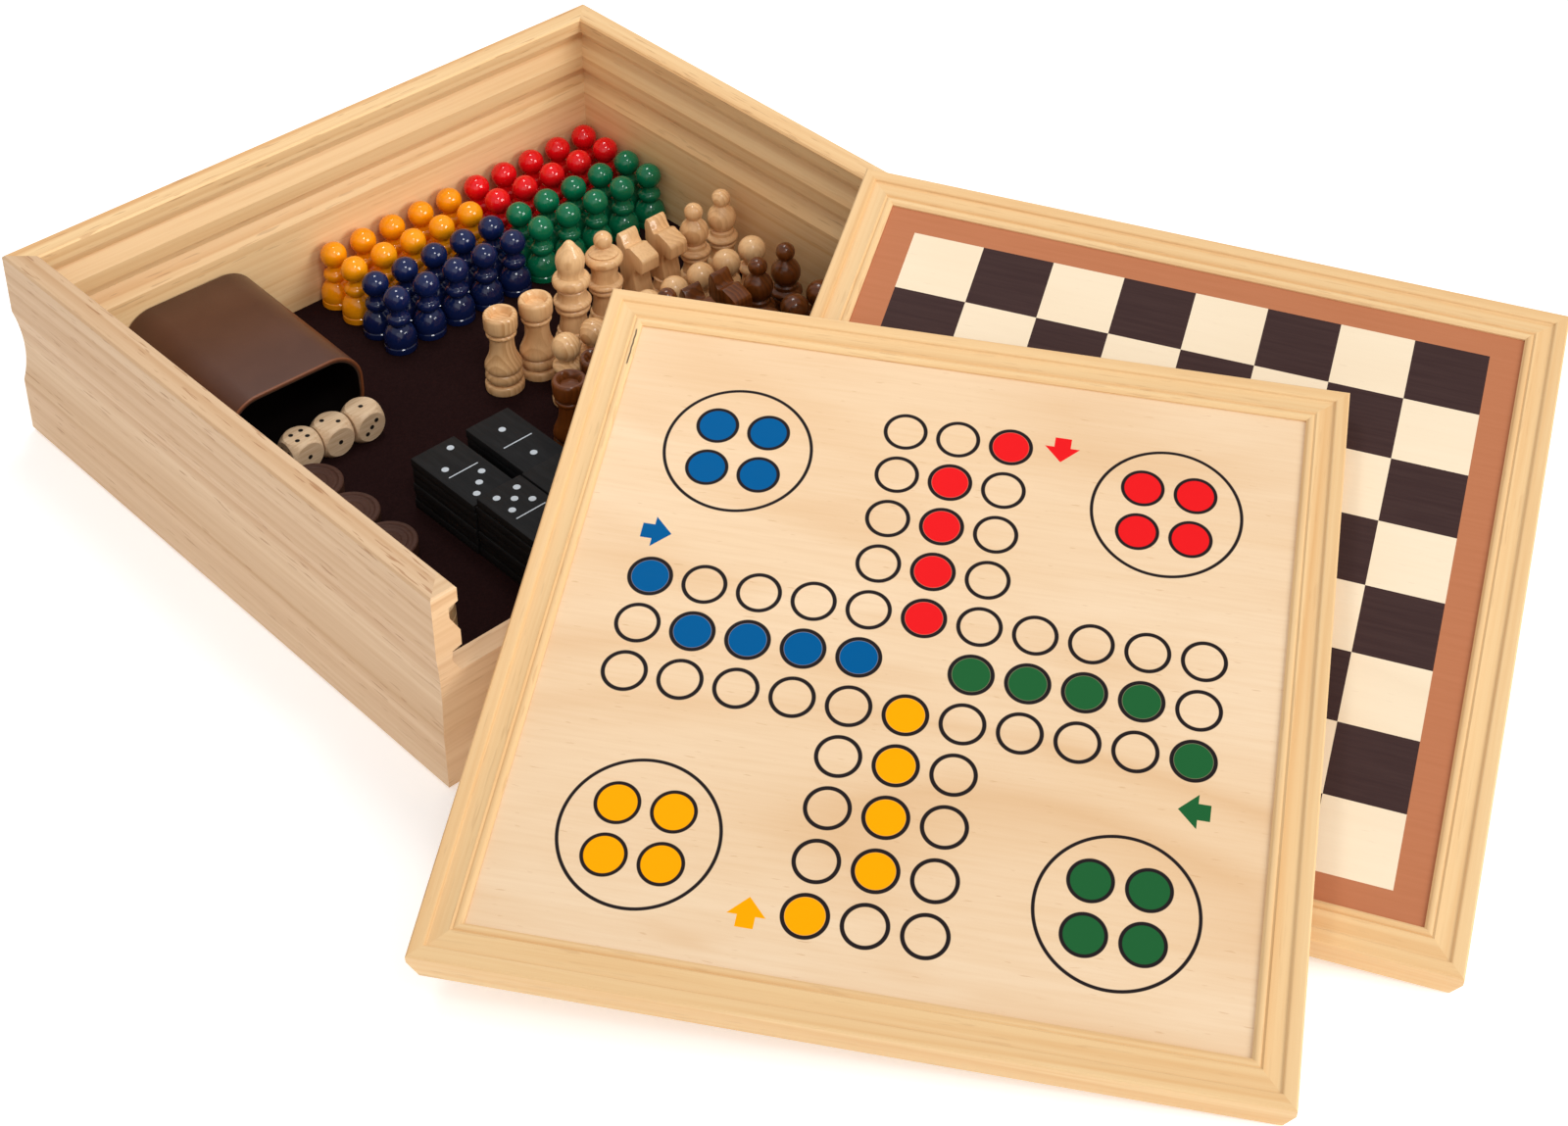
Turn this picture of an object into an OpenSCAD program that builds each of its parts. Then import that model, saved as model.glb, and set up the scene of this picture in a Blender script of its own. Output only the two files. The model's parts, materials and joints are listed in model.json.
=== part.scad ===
// Games compendium box: an open pine box with two slide-in framed boards,
// shown open, with both boards leaning on its low front wall and the loose
// game pieces standing on the felt inside.
// Frame: origin at the centre of the underside, +X to the right wall,
// +Y to the rear wall, +Z up. The low wall faces -Y. Millimetres.

/* [Box] */
// Outside width, left wall to right wall
box_w = 300; // [280:1:340]
// Outside depth, low front wall to rear wall
box_d = 289; // [280:1:320]
// Outside height of the three tall walls
box_h = 87.3; // [84:0.1:96]
// Thickness of each wall
wall_t = 11; // [10:0.5:14]
// Thickness of the floor panel
floor_t = 4; // [3:0.5:6]
// Thickness of the felt liner
felt_t = 1; // [0.6:0.1:2]
// Gap between the felt liner and the walls
felt_gap = 0.2; // [0.1:0.1:1]

/* [Outside shape of the walls] */
// Depth of the shallow cove round the outside
cove_depth = 2; // [0.5:0.5:3]
// Height where the cove starts below the flat band
cove_top = 60; // [54:1:64]
// Height where the cove runs out again
cove_bottom = 26; // [18:1:34]
// Ease on the bottom outer edge
bottom_ease = 1.5; // [0:0.5:3]
// Ease on the two edges of the rim
rim_ease = 0.8; // [0:0.1:1.5]

/* [Board grooves] */
// Depth of each groove in the walls
groove_depth = 4; // [3:0.5:5]
// Height of the lip above the upper groove
lip_h = 6.6; // [5:0.1:9]
// Slope of the upper side of a groove over its depth
groove_top_slope = 1; // [0.5:0.1:2]
// Height of the flat bottom of a groove
groove_flat = 4.5; // [4:0.1:6]
// Slope of the lower side of a groove over its depth
groove_low_slope = 7.3; // [6:0.1:9]
// Distance from the upper groove to the lower groove
groove_pitch = 19.3; // [18:0.1:22]

/* [Boards] */
// Thickness of a board frame
board_t = 11.3; // [10.5:0.1:11.6]
// Width of a frame bar
bar_w = 15.2; // [13:0.1:20]
// Side gap between a board and the bottom of its groove
side_gap = 1; // [0.5:0.1:1.5]
// End gap between a board and the bottom of the rear groove
end_gap = 0.7; // [0.5:0.1:1.5]
// Thickness of the tip of a board's tongue
tongue_t = 3.9; // [3:0.1:4.2]
// Width of the taper under a tongue
taper_w = 3.6; // [3:0.1:5]
// Thickness of a board panel
panel_t = 5; // [3:0.1:6]
// Depth of the printed face below the top of the frame
panel_drop = 2.2; // [1:0.1:3]
// How far a panel runs into the slot in its frame
panel_in = 5; // [3:0.1:7]

/* [Where the boards lean] */
// Heading of the chess board's lower edge
chess_heading = -60; // [-62:0.1:-58]
// Fall of the chess board along its lower edge
chess_dip = 3.8; // [2:0.01:5]
// Where the box's corner meets the chess board's rear bar, from its right end
chess_rest = 209; // [205:0.1:220]
// Heading of the ludo board's right edge
ludo_heading = 35.65; // [33:0.01:38]
// Place of the ludo board's far corner from the chess board's lower right one
ludo_rest = [75, 210.8]; // [60:0.1:220]
// Gap left between a board and what it rests on
rest_gap = 0.3; // [0.2:0.05:0.5]
// Height of a board's lowest corner above the table
table_gap = 0.1; // [0:0.05:0.3]

/* [Halma men] */
// Height of a halma man
halma_h = 31; // [28:0.5:34]
// Radius of its base
halma_r = 7.1; // [6:0.1:7.3]
// Distance between two men in a row
halma_pitch = 15.6; // [15:0.1:16]
// Gap between the outer halma men and the walls
halma_gap = 0.3; // [0.2:0.1:2]

/* [Chess men] */
// Radius of a rook's base
rook_r = 8.4; // [7.5:0.1:8.5]
// Radius of a pawn's base
pawn_r = 7.1; // [6.5:0.1:7.2]
// Distance between two pawns
pawn_pitch = 14.8; // [14.6:0.1:15.2]
// Distances of the light back rank from the right wall
light_rank = [11, 27, 43.6, 59.6, 77.2, 95.6, 115.6, 132.8];
// Distances of the dark back rank from the right wall
dark_rank = [19, 35, 51.4, 67.4, 85, 104.2, 123, 140.6];
// Distances of the light and dark back ranks from the rear wall
rank_y = [109, 160]; // [105:1:165]
// Distances of the light and dark pawns from the rear wall
pawn_y = [134.5, 180]; // [130:1:185]
// Distances of the last light and dark pawns from the right wall
pawn_x = [15.8, 17.4]; // [10:0.1:20]
// Thickness of a knight's sawn head
knight_t = 9.5; // [8:0.5:11]

/* [Dominoes] */
// Length of a domino
domino_l = 41; // [38:0.5:41]
// Width of a domino
domino_w = 21.2; // [19:0.1:21.4]
// Thickness of a domino
domino_t = 4; // [3.5:0.1:5]
// Distance of the loose dominoes from the low wall
domino_y = 12.9; // [2:0.1:20]
// Distance of the rear right stack's middle from the left wall
domino_x = 108.1; // [100:0.1:115]
// Gap between two stacks side by side
stack_gap = 0.8; // [0.5:0.1:6]
// Sideways and endways stagger between two dominoes in a stack
domino_slip = 0.25; // [0:0.05:0.4]

/* [Dice, draughts and cup] */
// Edge length of a die
die_a = 14; // [12:0.5:14]
// Radius of the ball that rounds a die's edges and corners
die_round = 9.5; // [9:0.1:10]
// Radius of a draughtsman
draught_r = 12.5; // [11:0.5:12.5]
// Thickness of a draughtsman
draught_t = 6; // [5:0.5:7]
// Width of the dice cup
cup_w = 64; // [55:1:66]
// Height of the dice cup as it lies on its side
cup_h = 36; // [30:1:38]
// Length of the dice cup from its base to its mouth
cup_l = 83.4; // [70:0.1:88]
// Corner radius of the cup's section
cup_r = 15; // [10:1:17]
// Thickness of the cup's wall
cup_t = 2.4; // [1.8:0.1:3]
// Turn of the lying cup out of line with the box
cup_turn = -1.5; // [-2:0.1:2]
// Gap between the cup's base and the rear wall
cup_gap = 0.4; // [0.3:0.1:5]
// Distance of the cup's middle from the left wall
cup_x = 60; // [50:0.5:70]
// Gap between the dice and the cup's mouth
dice_gap = 0.5; // [0.3:0.1:2]
// Gap between two draughtsmen side by side
draught_gap = 0.2; // [0.1:0.1:1]
// Distance of the outer row of draughtsmen from the left wall
draught_x = 19.6; // [13:0.1:22]

/* [Hidden] */
$fn = 64;
// Excess that a cutter runs past the face it cuts
over = 1;
// Top of the felt, on which the loose pieces stand
felt_z = floor_t + felt_t;
groove_x = wall_t - groove_depth;
// The low wall ends at the foot of the lower groove
low_wall_h = box_h - lip_h - groove_pitch
    - groove_top_slope - groove_flat - groove_low_slope;
board_w = box_w - 2 * groove_x - 2 * side_gap;
board_l = box_d - groove_x - end_gap;
panel_z = board_t - panel_drop - panel_t;
// Inner faces of the right, rear and left walls
inner_x = box_w / 2 - wall_t;
inner_y = box_d / 2 - wall_t;
left_x = -inner_x;

// Inner outline of a wall from the rim down, as [depth, height] pairs
function groove_outline(top) = [
    [wall_t, top],
    [groove_x, top - groove_top_slope],
    [groove_x, top - groove_top_slope - groove_flat],
    [wall_t, top - groove_top_slope - groove_flat - groove_low_slope]
];
inner_outline = concat(
    [[wall_t - rim_ease, box_h], [wall_t, box_h - rim_ease]],
    groove_outline(box_h - lip_h),
    groove_outline(box_h - lip_h - groove_pitch)
);
outer_outline = [
    [bottom_ease, 0],
    [0, bottom_ease],
    [0, box_h - rim_ease],
    [rim_ease, box_h]
];
cove_rise = (cove_top - cove_bottom) / 2;
cove_r = (cove_rise * cove_rise + cove_depth * cove_depth) / (2 * cove_depth);

module wall_section() {
    difference() {
        polygon(concat(outer_outline, inner_outline, [[wall_t, 0]]));
        translate([cove_depth - cove_r, cove_bottom + cove_rise]) circle(cove_r, $fn = 240);
    }
}

// Straight moulding along X, outer face at y = 0, with both ends mitred
module mitred(length, depth, height) {
    intersection() {
        rotate([90, 0, 90])
            translate([0, 0, -length / 2])
                linear_extrude(length) children();
        linear_extrude(height)
            polygon([
                [-length / 2, 0],
                [length / 2, 0],
                [length / 2 - depth, depth],
                [depth - length / 2, depth]
            ]);
    }
}

module wall(length) {
    mitred(length, wall_t, box_h) wall_section();
}

// Clear space between the side walls above the low front wall
module front_opening() {
    side = concat([[wall_t, box_h + over]], inner_outline, [[wall_t, low_wall_h]]);
    right = [for (p = side) [box_w / 2 - p[0], p[1]]];
    left = [for (i = [len(side) - 1 : -1 : 0]) [side[i][0] - box_w / 2, side[i][1]]];
    translate([0, wall_t + over, 0])
        rotate([90, 0, 0])
            linear_extrude(wall_t + 2 * over) polygon(concat(right, left));
}

module floor_panel() {
    color("burlywood")
        translate([wall_t - box_w / 2, wall_t - box_d / 2, 0])
            cube([box_w - 2 * wall_t, box_d - 2 * wall_t, floor_t]);
}

module felt_liner() {
    inset = wall_t + felt_gap;
    color([0.11, 0.07, 0.07])
        translate([inset - box_w / 2, inset - box_d / 2, floor_t])
            cube([box_w - 2 * inset, box_d - 2 * inset, felt_t]);
}

module left_wall() {
    color("wheat")
        translate([-box_w / 2, 0, 0]) rotate([0, 0, -90]) wall(box_d);
}

module right_wall() {
    color("wheat")
        translate([box_w / 2, 0, 0]) rotate([0, 0, 90]) wall(box_d);
}

module rear_wall() {
    color("wheat")
        translate([0, box_d / 2, 0]) rotate([0, 0, 180]) wall(box_w);
}

module front_wall() {
    color("wheat")
        translate([0, -box_d / 2, 0])
            difference() {
                wall(box_w);
                front_opening();
            }
}

// Moulded top of a frame bar, as [distance in, depth] pairs: a flat, a small
// quarter round, a long hollow and a bead beside the panel
moulding = [
    [0.6, 0],
    for (a = [0 : 22.5 : 90]) [4.2 + sin(a), 0.9 - 0.9 * cos(a)],
    for (i = [0 : 6]) [5.5 + i, 1.1 - 0.8 * pow(i / 6, 2)],
    for (a = [160 : -20 : 20]) [13.4 + 1.2 * cos(a), 1.1 - 0.6 * sin(a)],
    [bar_w, 1.5]
];

// Frame bar of a board: moulded top, slot for the panel, tapered tongue
module bar_section(taper) {
    polygon([
        [taper, 0],
        [0, taper > 0 ? board_t - tongue_t : 0],
        [0, board_t - 0.6],
        for (p = moulding) [p[0], board_t - p[1]],
        [bar_w, panel_z + panel_t],
        [bar_w - panel_in, panel_z + panel_t],
        [bar_w - panel_in, panel_z],
        [bar_w, panel_z],
        [bar_w, 0]
    ]);
}

// The room that a board has between the side walls
module board_envelope() {
    half = board_w / 2;
    rotate([90, 0, 0])
        translate([0, 0, -board_l])
            linear_extrude(2 * board_l)
                polygon([
                    [taper_w - half, 0],
                    [half - taper_w, 0],
                    [half, board_t - tongue_t],
                    [half, board_t],
                    [-half, board_t],
                    [-half, board_t - tongue_t]
                ]);
}

module front_bar() {
    intersection() {
        translate([0, -board_l / 2, 0])
            mitred(board_w, bar_w, board_t) bar_section(0);
        board_envelope();
    }
}

module rear_bar() {
    intersection() {
        translate([0, board_l / 2, 0])
            rotate([0, 0, 180])
                mitred(board_w, bar_w, board_t) bar_section(taper_w);
        board_envelope();
    }
}

// side is -1 for the left bar and 1 for the right bar
module side_bar(side) {
    translate([side * board_w / 2, 0, 0])
        rotate([0, 0, 90 * side])
            mitred(board_l, bar_w, board_t) bar_section(taper_w);
}

module board_panel() {
    inset = bar_w - panel_in;
    translate([inset - board_w / 2, inset - board_l / 2, panel_z])
        cube([board_w - 2 * inset, board_l - 2 * inset, panel_t]);
}

// A lean is [corner, right, up the board, out of the board]: the corner is the
// foot of the board's lower right corner, the rest are its own directions
function along(pose, x, y, z) = pose[0] + pose[1] * x + pose[2] * y + pose[3] * z;
function turned_pose(corner, right, rise) = [corner, right, rise, cross(right, rise)];

// Chess board: the box's front right corner carries the inner edge of its rear bar
bar_edge = board_l - bar_w;
chess_hold = [box_w / 2 - rim_ease, 4.8 - box_d / 2, box_h + rest_gap];
chess_sine = (chess_hold[2] - table_gap - chess_rest * sin(chess_dip))
    / (bar_edge * cos(chess_dip));
chess_tilt = asin(chess_sine);
chess_right = [
    cos(chess_heading) * cos(chess_dip),
    sin(chess_heading) * cos(chess_dip),
    -sin(chess_dip)
];
chess_level = [-sin(chess_heading), cos(chess_heading), 0];
chess_rise = chess_level * cos(chess_tilt) + cross(chess_right, chess_level) * sin(chess_tilt);
chess_foot = chess_hold + chess_right * chess_rest - chess_rise * bar_edge;
chess_lean = turned_pose([chess_foot[0], chess_foot[1], table_gap], chess_right, chess_rise);

// Ludo board: its far corner stands on the chess board's panel and its left bar
// lies on the low front wall
ludo_far = along(chess_lean, -ludo_rest[0], ludo_rest[1], panel_z + panel_t + rest_gap);
ludo_run = board_l - taper_w;
ludo_climb = asin((ludo_far[2] - table_gap) / ludo_run);
ludo_rise = [
    cos(ludo_heading) * cos(ludo_climb),
    sin(ludo_heading) * cos(ludo_climb),
    sin(ludo_climb)
];
ludo_foot = ludo_far - ludo_rise * ludo_run;
ludo_level = [sin(ludo_heading), -cos(ludo_heading), 0];
ludo_span = board_w - 2 * taper_w;
function ludo_across(roll) = ludo_level * cos(roll) - cross(ludo_level, ludo_rise) * sin(roll);
// Point of the left bar's foot that is over the outer face of the low wall
function ludo_over(right) = let(start = ludo_foot - right * ludo_span)
    start + ludo_rise * ((-box_d / 2 - start[1]) / ludo_rise[1]);
// Roll at which that point comes down to the low wall, closed in on step by step
function ludo_roll(roll, steps) = steps == 0 ? roll : ludo_roll(
    roll + asin((low_wall_h + rest_gap - ludo_over(ludo_across(roll))[2]) / ludo_span),
    steps - 1
);
ludo_lean = turned_pose(ludo_foot, ludo_across(ludo_roll(3, 6)), ludo_rise);

// Places a flat board, centred on its underside, in a lean
module leaning(pose) {
    multmatrix([
        for (i = [0 : 2]) [pose[1][i], pose[2][i], pose[3][i], pose[0][i]],
        [0, 0, 0, 1]
    ])
        translate([taper_w - board_w / 2, board_l / 2, 0])
            children();
}

module ludo_pose() {
    leaning(ludo_lean) children();
}

module chess_pose() {
    leaning(chess_lean) children();
}

module ludo_panel() {
    color("bisque") ludo_pose() board_panel();
}

module ludo_front_bar() {
    color("wheat") ludo_pose() front_bar();
}

module ludo_rear_bar() {
    color("wheat") ludo_pose() rear_bar();
}

module ludo_left_bar() {
    color("wheat") ludo_pose() side_bar(-1);
}

module ludo_right_bar() {
    color("wheat") ludo_pose() side_bar(1);
}

module chess_panel() {
    color("sienna") chess_pose() board_panel();
}

module chess_front_bar() {
    color("wheat") chess_pose() front_bar();
}

module chess_rear_bar() {
    color("wheat") chess_pose() rear_bar();
}

module chess_left_bar() {
    color("wheat") chess_pose() side_bar(-1);
}

module chess_right_bar() {
    color("wheat") chess_pose() side_bar(1);
}

// Rectangle with round corners, centred
module rounded(w, h, r) {
    square([w - 2 * r, h], center = true);
    square([w, h - 2 * r], center = true);
    for (x = [-1, 1], y = [-1, 1])
        translate([x * (w / 2 - r), y * (h / 2 - r)]) circle(r);
}

// Cup of oblong section, lying on its side with its mouth to the front
cup_base_t = 4;
cup_swing = (cup_w / 2 - cup_r) * abs(sin(cup_turn));
cup_at = [left_x + cup_x, inner_y - cup_gap - cup_swing - cup_l / 2];
cup_front = cup_at[1] - cup_l / 2;
module dice_cup() {
    color("saddlebrown")
        translate([cup_at[0], cup_at[1], felt_z + cup_h / 2])
            rotate([90, 0, cup_turn])
                difference() {
                    translate([0, 0, -cup_l / 2])
                        linear_extrude(cup_l) rounded(cup_w, cup_h, cup_r);
                    translate([0, 0, cup_base_t - cup_l / 2])
                        linear_extrude(cup_l)
                            rounded(cup_w - 2 * cup_t, cup_h - 2 * cup_t, cup_r - cup_t);
                }
}

module die(at, turn) {
    color("burlywood")
        translate([at[0], at[1], felt_z + die_a / 2])
            rotate([0, 0, turn])
                intersection() {
                    cube(die_a, center = true);
                    sphere(die_round);
                }
}

// Dice in a row against the cup's mouth, from its left side to its right
module mouth_die(x, pull, turn) {
    die([cup_at[0] + x, cup_front - dice_gap - die_a / 2 - pull], turn);
}

module die_left() { mouth_die(-6.2, 0, 0); }
module die_middle() { mouth_die(8.4, 0.6, -1); }
module die_right() { mouth_die(23.1, 1.2, 1); }

// Turned piece from the right half of a flat outline
module turned() {
    rotate_extrude()
        intersection() {
            union() children();
            translate([0, 0]) square([20, 80]);
        }
}

// Ring of a turned piece: its widest radius, its height and its thickness
module bead(r, z, thick) {
    translate([r - thick / 2, z]) circle(thick / 2, $fn = 32);
    translate([0, z - thick / 2]) square([r - thick / 2, thick]);
}

module halma_man() {
    head_r = 5.85;
    dome = [for (a = [0 : 10 : 60]) [halma_r * cos(a), 5.3 + 8.2 * sin(a)]];
    turned() {
        translate([0, halma_h - head_r]) circle(head_r, $fn = 48);
        polygon(concat(
            [[0, 0], [halma_r - 0.4, 0], [halma_r, 0.5], [halma_r, 3], [halma_r - 0.4, 3.5]],
            dome,
            [[3.4, 14], [3.4, 18.6], [3.1, 20.5], [0, 22]]
        ));
        bead(5.4, 15.4, 4);
    }
}

// Men of one colour: two rows of five, from the column and row given
module halma_set(column, row) {
    for (i = [0 : 4], j = [0 : 1])
        translate([
            inner_x - halma_gap - halma_r - (column + i) * halma_pitch,
            inner_y - halma_gap - halma_r - (row + j) * halma_pitch,
            felt_z
        ])
            halma_man();
}

module halma_red() { color("crimson") halma_set(0, 0); }
module halma_orange() { color("orange") halma_set(5, 0); }
module halma_green() { color("darkgreen") halma_set(0, 2); }
module halma_blue() { color("midnightblue") halma_set(5, 2); }

// Foot that all the taller chess men share
module foot(r) {
    polygon([
        [0, 0], [r - 0.5, 0], [r, 0.6], [r, 4.2], [r - 0.7, 5],
        [r - 0.4, 6], [r - 1.1, 9.6], [r - 2.4, 10.6], [0, 12]
    ]);
    bead(r, 7.6, 3.6);
}

module rook() {
    crown_r = rook_r - 0.5;
    difference() {
        turned() {
            foot(rook_r);
            bead(7.2, 12, 2.4);
            polygon([
                [0, 10], [6.4, 10], [6.3, 13.6], [5.4, 16.5], [4.9, 20], [4.9, 23],
                [5.5, 25.8], [6.6, 29], [7, 30], [crown_r, 31.6], [crown_r, 36.8],
                [crown_r - 0.8, 38], [0, 38]
            ]);
            bead(7, 27.6, 2.6);
        }
        translate([0, 0, 34.2]) cylinder(r1 = 4.4, r2 = 5, h = 5);
    }
}

module king() {
    turned() {
        foot(8.8);
        bead(7.3, 12, 2.4);
        bead(7.6, 23.6, 3.2);
        bead(8.3, 26.9, 2.8);
        bead(8.3, 37.1, 6.4);
        polygon([
            [0, 10], [6.8, 10.5], [6.5, 14], [5.7, 18], [5.6, 21.4], [6, 26], [6.6, 28.8],
            [6.1, 31], [6.5, 33.2], [6, 40], [5.5, 42.2], [6, 44], [6.4, 46.6], [6.2, 49],
            [5.3, 51.3], [4, 53], [3.1, 54.2], [2.3, 55.6], [1.3, 56.7], [0, 57]
        ]);
    }
}

module queen() {
    turned() {
        foot(8.6);
        bead(7.2, 12, 2.4);
        bead(7.3, 24.4, 2.8);
        bead(8, 27.4, 2.8);
        bead(8.4, 39.6, 5.2);
        polygon([
            [0, 10], [6.7, 10.5], [6.3, 14], [5.5, 18], [5.5, 23], [6.2, 29.2],
            [5.6, 32], [6.4, 36], [6.6, 42.5], [4.6, 44.2], [3.2, 45.2], [3, 46], [0, 47]
        ]);
        translate([0, 48.6]) circle(4.1, $fn = 48);
    }
}

module bishop() {
    body = [for (a = [-50 : 12 : 58]) [6.5 * cos(a), 30 + 6.8 * sin(a)]];
    turned() {
        foot(7.4);
        bead(6.4, 17.4, 2.4);
        bead(7.2, 20.4, 2.8);
        polygon(concat(
            [[0, 10], [5.8, 10.6], [5.2, 13], [4.9, 16], [5.3, 22.4], [5.2, 24]],
            body,
            [[3.2, 36.6], [2.8, 38], [0, 39]]
        ));
        translate([0, 40.2]) circle(4.2, $fn = 48);
    }
}

module pawn() {
    turned() {
        foot(pawn_r);
        bead(6.2, 18.4, 3.8);
        polygon([
            [0, 10], [5.2, 10.4], [4.6, 13], [4.2, 15.8], [3.9, 19], [3.7, 22], [0, 24]
        ]);
        translate([0, 27.6]) circle(6.2, $fn = 48);
    }
}

// Sawn horse's head on a turned foot, looking along -Y
module knight() {
    turned() {
        foot(7.6);
        polygon([[0, 10], [6, 10], [5.6, 13], [5.6, 15], [0, 15]]);
    }
    intersection() {
        rotate([90, 0, 90])
            translate([0, 0, -knight_t / 2])
                linear_extrude(knight_t)
                    difference() {
                        union() {
                            polygon([
                                [-4.6, 14], [4.8, 14], [6.2, 20], [6.4, 27], [6.6, 34],
                                [2.4, 38.4], [-1.4, 38.4], [-7.4, 34.6], [-8.6, 32.4],
                                [-7.8, 27.2], [-5.6, 26.2], [-3.4, 27.4], [-2.2, 25],
                                [-4.2, 19]
                            ]);
                            translate([4.6, 36]) circle(3.4, $fn = 40);
                            translate([5.4, 30]) circle(2.6, $fn = 40);
                            translate([5.2, 24.6]) circle(2.4, $fn = 40);
                        }
                        translate([-1, 33.6]) circle(1.3, $fn = 32);
                    }
        rotate([0, 0, 45])
            translate([0, 0, 13]) cylinder(r1 = 8.4, r2 = 13, h = 32, $fn = 4);
    }
}

// Stands a man at a place measured from the right and rear walls
module at(x, y) {
    translate([inner_x - x, inner_y - y, felt_z]) children();
}

module light() {
    color("tan") children();
}

module dark() {
    color([0.27, 0.15, 0.09]) children();
}

module pawn_row(side) {
    for (i = [0 : 7])
        at(pawn_x[side] + i * pawn_pitch, pawn_y[side]) pawn();
}

// Two men of a kind, first and second in the rank from the right wall
module pair(rank, first, side, step = [0, 0]) {
    at(rank[first], rank_y[side] + step[0]) children();
    at(rank[first + 1], rank_y[side] + step[1]) children();
}

module light_bishops() { light() pair(light_rank, 0, 0) bishop(); }
module light_knights() { light() pair(light_rank, 2, 0) knight(); }
module light_queen() { light() at(light_rank[4], rank_y[0] - 0.5) queen(); }
module light_king() { light() at(light_rank[5], rank_y[0]) king(); }
module light_rooks() { light() pair(light_rank, 6, 0, [0.8, -1]) rook(); }
module light_pawns() { light() pawn_row(0); }
module dark_bishops() { dark() pair(dark_rank, 0, 1) bishop(); }
module dark_knights() { dark() pair(dark_rank, 2, 1) knight(); }
module dark_queen() { dark() at(dark_rank[4], rank_y[1]) queen(); }
module dark_king() { dark() at(dark_rank[5], rank_y[1]) king(); }
module dark_rooks() { dark() pair(dark_rank, 6, 1, [0, 4]) rook(); }
module dark_pawns() { dark() pawn_row(1); }

// Stack of dominoes, each laid a little out of line with the one below
module domino_stack(x, y, count) {
    color([0.13, 0.13, 0.14])
        for (i = [0 : count - 1])
            translate([
                x + domino_slip * sin(137 * i),
                y + domino_slip * cos(137 * i),
                felt_z + (i + 0.5) * domino_t
            ])
                cube([domino_w, domino_l, domino_t], center = true);
}

loose_row = -inner_y + domino_y + domino_w / 2;
front_row = loose_row + domino_w / 2 + 3.5 + domino_l / 2;
rear_row = front_row + domino_l + stack_gap;
right_stack = left_x + domino_x;
step_x = domino_w + stack_gap;

module dominoes_rear_left() { domino_stack(right_stack - step_x - 4.9, rear_row, 6); }
module dominoes_rear_right() { domino_stack(right_stack, rear_row, 6); }
module dominoes_front_left() { domino_stack(right_stack - step_x - 4.4, front_row, 7); }
module dominoes_front_right() { domino_stack(right_stack - 4.4, front_row, 7); }
module dominoes_loose() {
    translate([right_stack - 15.1, loose_row, 0])
        rotate([0, 0, 90]) domino_stack(0, 0, 2);
}

// Draughtsman: a disc with a shallow ring turned in each face
module draughtsman() {
    rim = 2.2;
    rotate_extrude()
        polygon([
            [0, 0], [draught_r - 0.5, 0], [draught_r, 0.5],
            [draught_r, draught_t - 0.5], [draught_r - 0.5, draught_t],
            [draught_r - rim, draught_t], [draught_r - rim - 0.4, draught_t - 0.5],
            [draught_r - rim - 1.6, draught_t - 0.5], [draught_r - rim - 2, draught_t],
            [0, draught_t]
        ]);
}

module draught_stack(x, y, count) {
    for (i = [0 : count - 1])
        translate([x, y, felt_z + i * draught_t]) draughtsman();
}

draught_step = 2 * draught_r + draught_gap;
outer_row = left_x + draught_x;
inner_row = outer_row + draught_step + 1;
// First disc of each row, clear of the left die and of the cup's mouth
inner_start = cup_front - dice_gap - die_a - draught_gap - draught_r;
outer_start = cup_front - 1 - draught_r;

module draughts_dark() {
    dark()
        for (i = [0 : 2]) {
            draught_stack(inner_row, inner_start - i * draught_step, 1);
            draught_stack(outer_row, outer_start - i * draught_step, 4);
        }
}

module draughts_light() {
    light()
        for (i = [3 : 5])
            draught_stack(outer_row, outer_start - i * draught_step, 5);
}

floor_panel();
felt_liner();
left_wall();
right_wall();
rear_wall();
front_wall();
ludo_panel();
ludo_front_bar();
ludo_rear_bar();
ludo_left_bar();
ludo_right_bar();
chess_panel();
chess_front_bar();
chess_rear_bar();
chess_left_bar();
chess_right_bar();
dice_cup();
die_left();
die_middle();
die_right();
halma_red();
halma_orange();
halma_green();
halma_blue();
light_king();
light_queen();
light_bishops();
light_knights();
light_rooks();
light_pawns();
dark_king();
dark_queen();
dark_bishops();
dark_knights();
dark_rooks();
dark_pawns();
dominoes_rear_left();
dominoes_rear_right();
dominoes_front_left();
dominoes_front_right();
dominoes_loose();
draughts_dark();
draughts_light();
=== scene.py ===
"""Games compendium box: the dressed model, its stage and its camera.

The places and sizes of the pieces are written in millimetres, in the frame of
the CAD part. Blender gets metres, so they pass through MM on the way.
"""

import json
import math

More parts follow.
